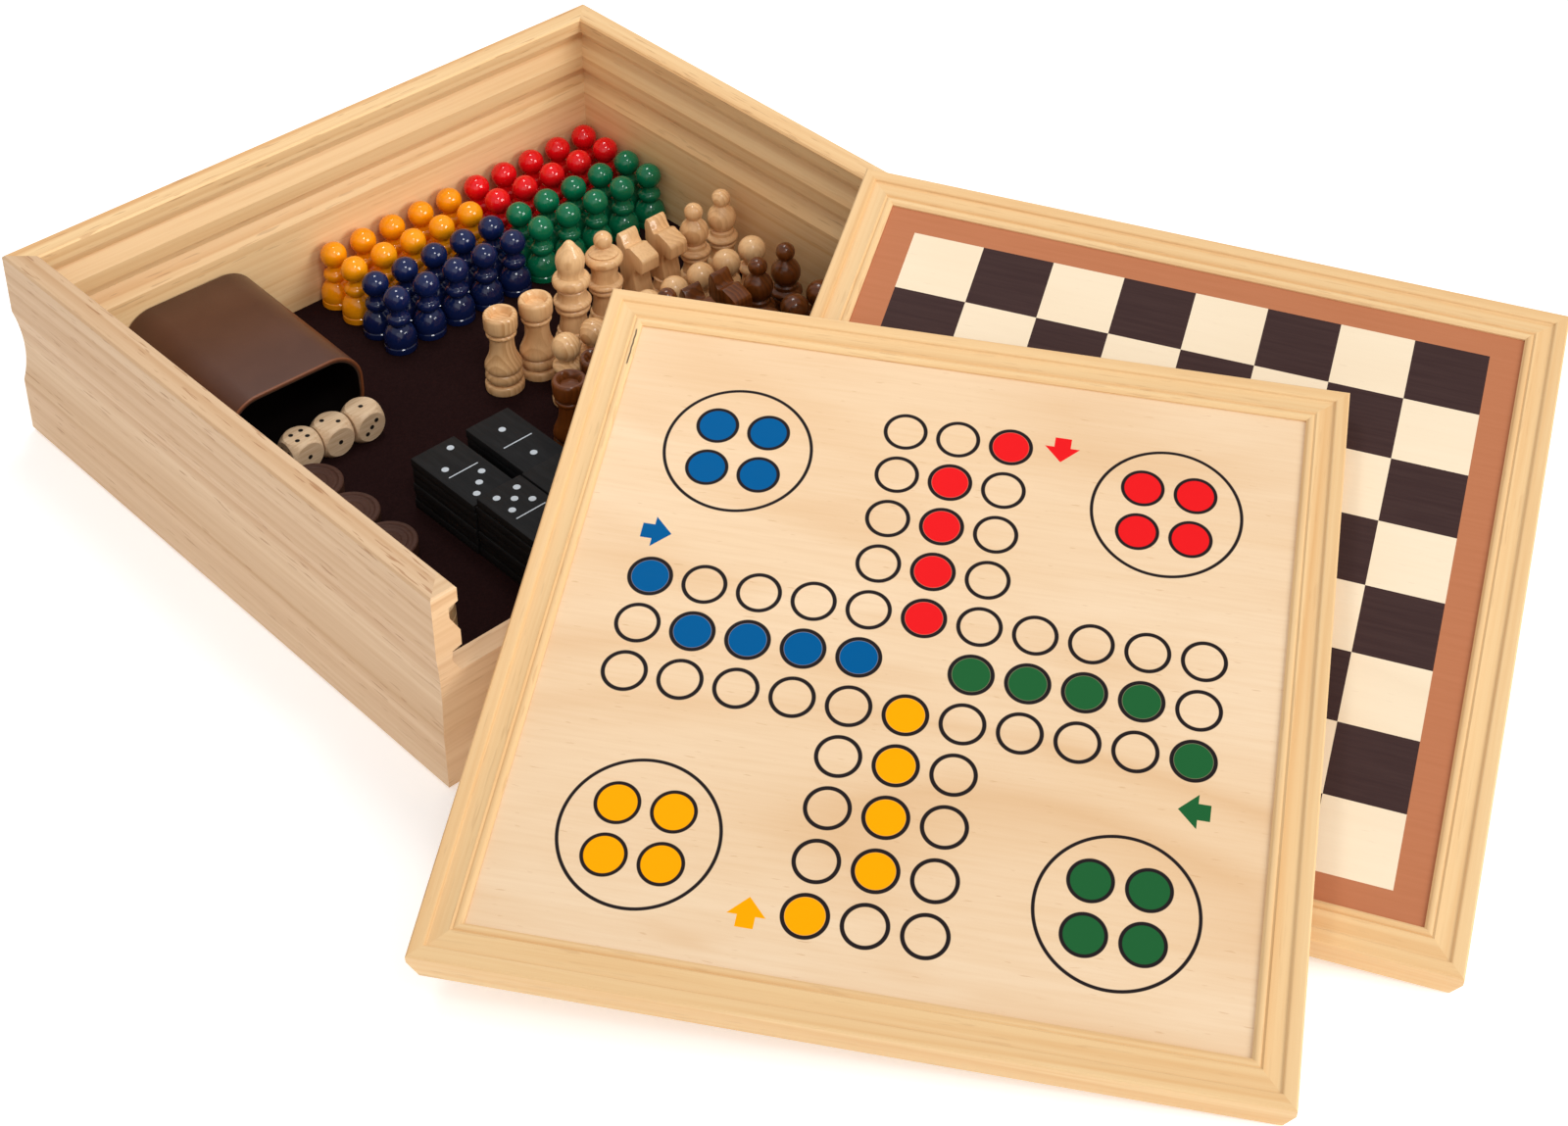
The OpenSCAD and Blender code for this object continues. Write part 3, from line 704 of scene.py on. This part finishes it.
def set_out(master, places):
    """Copies a finished master to each (x, y, z, turn) in mm and joins the copies."""
    copies = []
    for x, y, z, turn in places:
        choose(master)
        bpy.ops.object.duplicate(linked=False)
        copy = bpy.context.object
        copy.location = (x * MM, y * MM, z * MM)
        copy.rotation_euler = (0, 0, math.radians(turn))
        copies.append(copy)
    choose(*copies)
    if len(copies) > 1:
        bpy.ops.object.join()
    bpy.data.objects.remove(master, do_unlink=True)
    return copies[0]


def soften(piece, width, segments=2, angle=30):
    """Eases a piece's sharp edges by a width in mm."""
    bevel = piece.modifiers.new("ease", "BEVEL")
    bevel.width = width * MM
    bevel.segments = segments
    bevel.limit_method = "ANGLE"
    bevel.angle_limit = math.radians(angle)
    bpy.context.view_layer.objects.active = piece
    bpy.ops.object.modifier_apply(modifier=bevel.name)


def oval(x, z, wide, high, angles):
    """Points of an upright oval in a turned outline, angles in degrees from straight out."""
    return [(x + wide * math.cos(math.radians(a)), z + high * math.sin(math.radians(a))) for a in angles]


def ball(radius, z, start, steps):
    """The outline of a ball from a start angle nearly up to its top."""
    return oval(0, z, radius, radius, [start + (88 - start) * i / steps for i in range(steps + 1)])


def bead(edge, z, thick, squash=1.0):
    """A rounded ring: its widest radius, its middle height and its thickness."""
    half = thick / 2
    return oval(edge - half * squash, z, half * squash, half, range(-80, 81, 20))


def turned(outline, steps=40):
    """Spins an outline of (radius, height) points in mm, which starts at (0, 0), about the upright axis."""
    clear()
    bpy.ops.mesh.primitive_plane_add(size=MM)
    piece = bpy.context.object
    edit_all()
    bpy.ops.mesh.merge(type="CENTER")
    x, z = outline[0]
    for next_x, next_z in outline[1:]:
        step = ((next_x - x) * MM, 0, (next_z - z) * MM)
        bpy.ops.mesh.extrude_region_move(TRANSFORM_OT_translate={"value": step})
        x, z = next_x, next_z
    bpy.ops.mesh.select_all(action="SELECT")
    bpy.ops.mesh.spin(steps=steps, angle=math.tau, center=(0, 0, 0), axis=(0, 0, 1))
    bpy.ops.mesh.select_all(action="SELECT")
    bpy.ops.mesh.remove_doubles(threshold=0.00001)
    close_up()
    return piece


# Outline of a foot: (radius past the foot's edge, height)
FOOT = [(-0.6, 0), (-0.1, 0.4), (0, 1.0), (0, 3.2), (-0.3, 3.9), (-1.0, 4.3)]


def foot(edge, top=10.2):
    """The rounded base disc and the bulge over it that the chess men share."""
    bottom = 4.4
    outline = [(0, 0)] + [(edge + dx, z) for dx, z in FOOT]
    return outline + bead(edge - 0.3, (bottom + top) / 2, top - bottom, 0.75)


def halma_man():
    return turned(
        [(0, 0), (6.7, 0), (7.1, 0.4), (7.15, 1.2), (7.1, 2.9), (6.7, 3.3)]
        + oval(0, 5.3, 7.2, 8.2, range(-12, 61, 8))
        + bead(5.3, 15.4, 4.6, 0.8) + [(3.5, 18.2)] + ball(5.85, 25.15, -58, 14) + [(0, 31)], 36)


def rook():
    return turned(
        foot(8.4)
        + [(7.8, 10.7), (8.1, 11.6), (7.9, 13.2), (7.0, 15.2), (6.0, 17.6), (5.4, 20.5), (5.2, 24),
           (5.5, 26.2)]
        + bead(6.5, 28, 2.2)
        + [(6.3, 29.5), (6.9, 30.3), (7.2, 31.4), (7.3, 36.4), (7.0, 37.5), (6.4, 38), (5.4, 37.9),
           (4.6, 37.0), (4.1, 35.6), (3.9, 35.0), (0, 34.8)])


def king():
    return turned(
        foot(8.8) + [(6.8, 10.5)] + bead(7.3, 12.0, 2.4) + [(6.5, 14), (5.7, 18), (5.6, 21.4)]
        + bead(7.6, 23.6, 3.2) + bead(8.3, 26.9, 2.8) + [(6.6, 28.8), (6.1, 31), (6.5, 33.2)]
        + bead(8.3, 37.1, 6.4, 0.9)
        + [(5.7, 41.0), (5.5, 42.2), (6.0, 44), (6.4, 46.6), (6.2, 49), (5.3, 51.3),
           (4.0, 53.0), (3.1, 54.2), (2.3, 55.6), (1.3, 56.7), (0, 57)])


def queen():
    return turned(
        foot(8.6) + [(6.7, 10.5)] + bead(7.2, 12.0, 2.4) + [(6.3, 14), (5.5, 18), (5.5, 22.4)]
        + bead(7.3, 24.4, 2.8) + bead(8.0, 27.4, 2.8) + [(6.2, 29.2), (5.6, 32), (6.2, 35.5)]
        + bead(8.4, 39.6, 5.2, 0.9) + [(6.6, 42.9), (4.6, 44.2), (3.2, 45.0)]
        + ball(4.1, 48.6, -50, 10) + [(0, 52.7)])


def bishop():
    return turned(
        foot(7.4) + [(5.8, 10.6), (5.2, 13), (4.9, 15.6)] + bead(6.4, 17.4, 2.4) + bead(7.2, 20.4, 2.8)
        + [(5.3, 22.4), (5.2, 24)] + oval(0.2, 30, 6.3, 6.8, range(-50, 60, 10))
        + [(3.2, 36.6)] + ball(4.2, 40.2, -46, 10) + [(0, 44.4)])


def pawn():
    return turned(
        foot(7.1, 9.6) + [(5.2, 10.4), (4.6, 13), (4.2, 15.8)] + bead(6.2, 18.4, 3.8, 0.9)
        + [(3.7, 20.9)] + ball(6.2, 27.6, -54, 14) + [(0, 33.8)], 36)


def draughtsman():
    return turned(
        [(0, 0), (12.0, 0), (12.5, 0.5), (12.5, 5.5), (12.0, 6), (10.6, 6), (10.2, 5.6), (9.4, 5.4),
         (8.6, 5.6), (8.2, 6), (6.2, 6.0), (5.9, 5.8), (5.6, 6.0), (0, 6)], 48)


# Outline of the knight's head as (y, height), and the thickness of its plank
HORSE_HEAD = [
    (-4.4, 13.5), (5.0, 13.5), (6.0, 18), (6.4, 24), (7.2, 27), (7.0, 30), (8.0, 33), (7.8, 36), (8.2, 39.5),
    (7.2, 42.6), (6.0, 43.2), (4.6, 42.0), (3.4, 39.2), (1.8, 37.4), (0.4, 38.4), (-1.4, 39.0), (-3.2, 38.2),
    (-6.0, 37.4), (-8.8, 36.2), (-9.6, 34.8), (-9.4, 29.6), (-8.4, 28.4), (-6.0, 28.2), (-4.4, 29.0),
    (-3.4, 27.0), (-3.0, 23.5), (-4.0, 18.6)]
HORSE_T = 9.5


def knight():
    """A horse's head sawn from a plank, on a turned foot, looking towards -Y."""
    base = turned(foot(7.6) + [(6.2, 10.6), (5.7, 12.6), (5.7, 14.6), (5.2, 15), (0, 15)])
    clear()
    bpy.ops.mesh.primitive_circle_add(vertices=len(HORSE_HEAD), radius=MM, fill_type="NGON")
    head = bpy.context.object
    for vertex, (y, z) in zip(head.data.vertices, HORSE_HEAD):
        vertex.co = (-HORSE_T / 2 * MM, y * MM, z * MM)
    edit_all()
    bpy.ops.mesh.extrude_region_move(TRANSFORM_OT_translate={"value": (HORSE_T * MM, 0, 0)})
    close_up()
    soften(head, 0.5)
    choose(base, head)
    bpy.ops.object.join()
    return base


def tile():
    """A domino tile, standing on z = 0."""
    clear()
    bpy.ops.mesh.primitive_cube_add(
        size=1, location=(0, 0, TILE_T / 2 * MM), scale=(TILE_W * MM, TILE_L * MM, TILE_T * MM))
    piece = bpy.context.object
    bpy.ops.object.transform_apply(location=True, rotation=False, scale=True)
    edit_all()
    bpy.ops.mesh.bevel(offset=0.35 * MM, segments=2, affect="EDGES")
    bpy.ops.object.mode_set(mode="OBJECT")
    return piece


def domino_spot():
    clear()
    bpy.ops.mesh.primitive_cylinder_add(vertices=20, radius=DOMINO_SPOT_R * MM, depth=MARK_T * MM)
    return bpy.context.object


def domino_bar():
    clear()
    long, wide = BAR_MARK
    bpy.ops.mesh.primitive_cube_add(size=1, scale=(long * MM, wide * MM, MARK_T * MM))
    piece = bpy.context.object
    bpy.ops.object.transform_apply(location=False, rotation=False, scale=True)
    return piece


def cup():
    """Dice cup of oblong section, lying on its side, mouth towards -Y."""
    clear()
    bpy.ops.mesh.primitive_plane_add(size=1)
    piece = bpy.context.object
    piece.scale = (CUP_W * MM, CUP_H * MM, 1)
    bpy.ops.object.transform_apply(location=False, rotation=False, scale=True)
    edit_all()
    bpy.ops.mesh.bevel(offset=CUP_CORNER * MM, segments=12, affect="VERTICES")
    bpy.ops.mesh.extrude_region_move(TRANSFORM_OT_translate={"value": (0, 0, CUP_L * MM)})
    bpy.ops.mesh.inset(thickness=CUP_WALL * MM)
    bpy.ops.mesh.extrude_region_move(TRANSFORM_OT_translate={"value": (0, 0, (CUP_BASE - CUP_L) * MM)})
    close_up()
    soften(piece, 0.7, 3, 50)
    piece.rotation_euler = (QUARTER, 0, CUP_TURN)
    piece.location = (
        (CUP_MIDDLE[0] - CUP_L / 2 * math.sin(CUP_TURN)) * MM,
        (CUP_MIDDLE[1] + CUP_L / 2 * math.cos(CUP_TURN)) * MM,
        (FELT_Z + CUP_H / 2) * MM)
    return piece


def wood_colour(name, description, code):
    return bpy.props.FloatVectorProperty(
        name=name, description=description, subtype="COLOR", size=4, min=0, max=1, default=rgb(code))


def spacing(name, description, default, low):
    return bpy.props.FloatProperty(
        name=name, description=description, default=default, min=low, max=0.018,
        subtype="DISTANCE", unit="LENGTH")


class BoxWoods(bpy.types.PropertyGroup):
    # Painted light: the right and rear walls, whose inner faces show, take paler copies of the same pine as the left
    # and front walls
    lit_wall_pale: wood_colour("Wall wood", "Early wood of the right and rear walls", "#f2ce9a")
    lit_wall_late: wood_colour("Wall rings", "Late wood of the right and rear walls", "#cf9150")
    bar_pale: wood_colour("Bar wood", "Early wood of the board frames", "#e8c592")
    bar_late: wood_colour("Bar rings", "Late wood of the board frames", "#cf9350")


class Men(bpy.types.PropertyGroup):
    halma_pitch: spacing("Halma pitch", "Distance between two halma men", 0.0156, 0.0145)
    pawn_pitch: spacing("Pawn pitch", "Distance between two chess pawns", 0.0148, 0.0143)


class WallsOperator(bpy.types.Operator):
    """Gives the box's walls and floor board their timber"""
    bl_idname = "games_box.walls"
    bl_label = "Box walls"

    def execute(self, context):
        woods = context.scene.games_box_woods
        pale, late = tuple(woods.lit_wall_pale), tuple(woods.lit_wall_late)
        upright = (0, 0, QUARTER)
        level = (0, 0, 0)
        paint("left_wall", pine(
            "pine_left", upright, (-0.15, 0, 0), rgb("#e2c29d"), rgb("#b78656"),
            pith=(0.16, -0.05), ring=0.0048, depth=0.62, streak=1.0))
        # Painted light: the right and rear walls get the paler, lit copy of the pine
        paint("right_wall", pine(
            "pine_right", upright, (0.15, 0.2, 0), pale, late, pith=(-0.06, 0.12), ring=0.006))
        paint("rear_wall", pine(
            "pine_rear", level, (0, 0.15, 0), pale, late, pith=(0.03, 0.17), ring=0.007, depth=0.8))
        paint("front_wall", pine(
            "pine_front", level, (0.3, -0.15, 0), rgb("#e2c097"), rgb("#bf8f62"), pith=(-0.12, -0.05)))
        paint("floor_panel", pine(
            "floor_ply", level, (0, 0, 0), rgb("#dcc096"), rgb("#c49a66"), pith=(0, -0.6)))
        paint("felt_liner", felt())
        return {"FINISHED"}


class BoardsOperator(bpy.types.Operator):
    """Prints the two boards and gives their frames their timber"""
    bl_idname = "games_box.boards"
    bl_label = "Boards"

    def execute(self, context):
        woods = context.scene.games_box_woods
        pale, late = tuple(woods.bar_pale), tuple(woods.bar_late)
        bars = (  # side, turn from the board's X in degrees, pith
            ("front", 0, (0.03, -0.05)), ("rear", 0, (0.2, 0.07)),
            ("left", 90, (0.04, -0.04)), ("right", 90, (-0.2, 0.08)))
        for board, offset in (("ludo", 0.0), ("chess", 0.033)):
            for side, extra, (across, up) in bars:
                place, turn = board_turn(board, extra)
                bar = "%s_%s" % (board, side)
                paint(bar + "_bar", pine(
                    "pine_" + bar, turn, place, pale, late, pith=(across + offset, up),
                    ring=0.0055, streak=0.35, crack=CRACK if bar == "ludo_left" else None))
        paint("ludo_panel", ludo_print())
        paint("chess_panel", chess_print())
        return {"FINISHED"}


class CupOperator(bpy.types.Operator):
    """Models the dice cup"""
    bl_idname = "games_box.cup"
    bl_label = "Dice cup"

    def execute(self, context):
        settle(cup(), "dice_cup_shell", leatherette(), "dice_cup_body", "cup_leather", ("dice_cup",))
        return {"FINISHED"}


class DiceOperator(bpy.types.Operator):
    """Marks the three dice with their pips"""
    bl_idname = "games_box.dice"
    bl_label = "Dice"

    def execute(self, context):
        for name in DICE:
            paint(name, die_wood(name))
        return {"FINISHED"}


class HalmaOperator(bpy.types.Operator):
    """Turns the halma men and sets them out by colour"""
    bl_idname = "games_box.halma"
    bl_label = "Halma men"

    def execute(self, context):
        pitch = context.scene.games_box_men.halma_pitch / MM
        x, y = HALMA_START
        for name, (column, row, colour) in HALMA.items():
            places = [(x - (column + i) * pitch, y - (row + j) * pitch, FELT_Z, 40 * i + 25 * j)
                      for i in range(5) for j in range(2)]
            settle(set_out(halma_man(), places), "halma_men_" + name, enamel("lacquer_" + name, colour),
                   "halma_%s_body" % name, name + "_lacquer", ("halma_" + name,))
        return {"FINISHED"}


class ChessOperator(bpy.types.Operator):
    """Turns both sets of chess men and sets them out"""
    bl_idname = "games_box.chess_men"
    bl_label = "Chess men"

    def execute(self, context):
        pitch = context.scene.games_box_men.pawn_pitch / MM
        woods = {
            "light": turned_wood("light_wood", "#f4c892", "#b97c42", contrast=0.6),
            "dark": turned_wood("dark_wood", "#7a4016", "#2b1306", rough=0.25, coat=0.5, contrast=0.7)}
        makers = {
            "rooks": rook, "king": king, "queen": queen, "knights": knight, "bishops": bishop, "pawns": pawn}
        for side, (rank, pawn_rank, first, men) in RANKS.items():
            # Round men are turned at odd angles, so that no two show the same side
            sets = {
                kind: [(x, rank + dy, FELT_Z, 0 if kind == "knights" else x * 7) for x, dy in spots]
                for kind, spots in men.items()}
            sets["pawns"] = [(first + i * pitch, pawn_rank, FELT_Z, 50 * i) for i in range(8)]
            for kind, places in sets.items():
                node = "%s_%s" % (side, kind)
                name = side + "_pawn_men" if kind == "pawns" else node + "_men"
                settle(set_out(makers[kind](), places), name, woods[side],
                       node + "_body", side + "_wood", (node,))
        return {"FINISHED"}


class DominoOperator(bpy.types.Operator):
    """Cuts the dominoes, stacks them and marks the top tiles"""
    bl_idname = "games_box.dominoes"
    bl_label = "Dominoes"

    def execute(self, context):
        black, silver = domino_finishes()
        slot = "domino_black"
        for node, (x, y, count, far, near) in STACKS.items():
            body = node + "_body"
            places = []
            for i in range(count):
                turn = math.radians(SLIP_TURN * i)
                places.append((x + SLIP * math.sin(turn), y + SLIP * math.cos(turn), FELT_Z + TILE_T * i, 0))
            settle(set_out(tile(), places), node + "_tiles", black, body, slot, (node,), 30)
            top = FELT_Z + TILE_T * count
            x, y = places[-1][:2]
            marks = [(x + SPOT_STEP * dx, y + half + SPOT_STEP * dy, top, 0)
                     for half, spots in ((HALF_TILE, far), (-HALF_TILE, near)) for dx, dy in SPOTS[spots]]
            settle(set_out(domino_spot(), marks), node + "_spots", silver, body, slot, smooth=30)
            settle(set_out(domino_bar(), [(x, y, top, 0)]), node + "_bar", silver, body, slot, smooth=30)
        x, y = LOOSE
        loose = set_out(tile(), [(x, y, FELT_Z + TILE_T * i, 90) for i in range(2)])
        settle(loose, "dominoes_loose_tiles", black, "dominoes_loose_body", slot, ("dominoes_loose",), 30)
        return {"FINISHED"}


def draught_stack(row, j, count):
    """Places of one stack of draughtsmen, the j-th of its row."""
    x, y = row
    return [(x, y - DRAUGHT_STEP * j, FELT_Z + DRAUGHT_T * i, 30 * i) for i in range(count)]


class DraughtsOperator(bpy.types.Operator):
    """Turns the draughtsmen and stacks them along the left wall"""
    bl_idname = "games_box.draughts"
    bl_label = "Draughtsmen"

    def execute(self, context):
        dark = turned_wood("draughts_brown", "#55362a", "#38221a", rough=0.5, coat=0.0, contrast=0.5)
        light = turned_wood("draughts_pale", "#efcfa0", "#cd9a60")
        places = []
        for j in range(3):
            places += draught_stack(INNER_ROW, j, 1) + draught_stack(DARK_ROW, j, 4)
        settle(set_out(draughtsman(), places), "draughtsmen_dark", dark,
               "draughts_dark_body", "dark_wood", ("draughts_dark",))
        places = [place for j in range(3) for place in draught_stack(LIGHT_ROW, j, 5)]
        settle(set_out(draughtsman(), places), "draughtsmen_light", light,
               "draughts_light_body", "light_wood", ("draughts_light",))
        return {"FINISHED"}


def add_camera(scene):
    data = bpy.data.cameras.new("photo_camera")
    data.sensor_width = 36
    data.lens = CAMERA_LENS
    data.shift_x, data.shift_y = CAMERA_SHIFT
    data.clip_start = 0.01
    camera = bpy.data.objects.new("photo_camera", data)
    scene.collection.objects.link(camera)
    turn = Matrix((CAMERA_RIGHT, CAMERA_UP, -CAMERA_AHEAD)).transposed().to_4x4()
    camera.matrix_world = Matrix.Translation(CAMERA_PLACE) @ turn
    scene.camera = camera


def add_lamp(scene, name, kind, place, aim, power):
    lamp = bpy.data.lights.new(name, kind)
    lamp.energy = power
    thing = bpy.data.objects.new(name, lamp)
    thing.location = place
    thing.rotation_euler = (aim - Vector(place)).to_track_quat("-Z", "Y").to_euler()
    scene.collection.objects.link(thing)
    return lamp


class StageOperator(bpy.types.Operator):
    """Lays the floor and sets the lights and the camera"""
    bl_idname = "games_box.stage"
    bl_label = "Stage and camera"

    def execute(self, context):
        scene = context.scene
        scene.view_settings.view_transform = "Standard"
        add_camera(scene)
        clear()
        bpy.ops.mesh.primitive_plane_add(size=FLOOR_SIZE, location=(0, 0, -0.0003))
        floor = bpy.context.object
        floor.name = "floor"
        finish = Finish("studio_floor", Roughness=0.7, Emission_Strength=FLOOR_GLOW)
        finish.set("Emission Color", WHITE)
        finish.set("Base Color", (0.92, 0.92, 0.92, 1))
        floor.data.materials.append(finish.material)
        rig.stage(floor)
        world = bpy.data.worlds.new("studio_air")
        world.use_nodes = True
        air = world.node_tree.nodes["Background"]
        air.inputs["Color"].default_value = WHITE
        air.inputs["Strength"].default_value = AIR_LIGHT
        scene.world = world
        for name, place, size, power in LAMPS:
            add_lamp(scene, name, "AREA", place, Vector((0, 0, 0)), power).size = size
        snoot = add_lamp(scene, "snoot", "SPOT", SNOOT_PLACE, SNOOT_AIM, SNOOT_POWER)
        snoot.spot_size = math.radians(SNOOT_CONE)
        snoot.spot_blend = 1.0
        snoot.shadow_soft_size = SNOOT_R
        return {"FINISHED"}


STEPS = (WallsOperator, BoardsOperator, CupOperator, DiceOperator, HalmaOperator, ChessOperator,
         DominoOperator, DraughtsOperator, StageOperator)


class GamesBoxPanel(bpy.types.Panel):
    """Lists the steps that dress the games box"""
    bl_idname = "VIEW3D_PT_games_box"
    bl_label = "Games Box"
    bl_space_type = "VIEW_3D"
    bl_region_type = "UI"
    bl_category = "Games Box"

    def draw(self, context):
        for step in STEPS:
            self.layout.operator(step.bl_idname)
        for prop in ("lit_wall_pale", "lit_wall_late", "bar_pale", "bar_late"):
            self.layout.prop(context.scene.games_box_woods, prop)
        for prop in ("halma_pitch", "pawn_pitch"):
            self.layout.prop(context.scene.games_box_men, prop)


CLASSES = (BoxWoods, Men) + STEPS + (GamesBoxPanel,)


def register():
    for cls in CLASSES:
        bpy.utils.register_class(cls)
    bpy.types.Scene.games_box_woods = bpy.props.PointerProperty(type=BoxWoods)
    bpy.types.Scene.games_box_men = bpy.props.PointerProperty(type=Men)


def unregister():
    del bpy.types.Scene.games_box_woods
    del bpy.types.Scene.games_box_men
    for cls in reversed(CLASSES):
        bpy.utils.unregister_class(cls)


def main():
    register()
    for step in STEPS:
        group, name = step.bl_idname.split(".")
        getattr(getattr(bpy.ops, group), name)()
    with open("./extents.json", "w") as out:
        json.dump({"cad": [list(v) for v in cad_bounds], "visual": [list(v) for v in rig.bounds()]}, out)


if __name__ == "__main__":
    main()
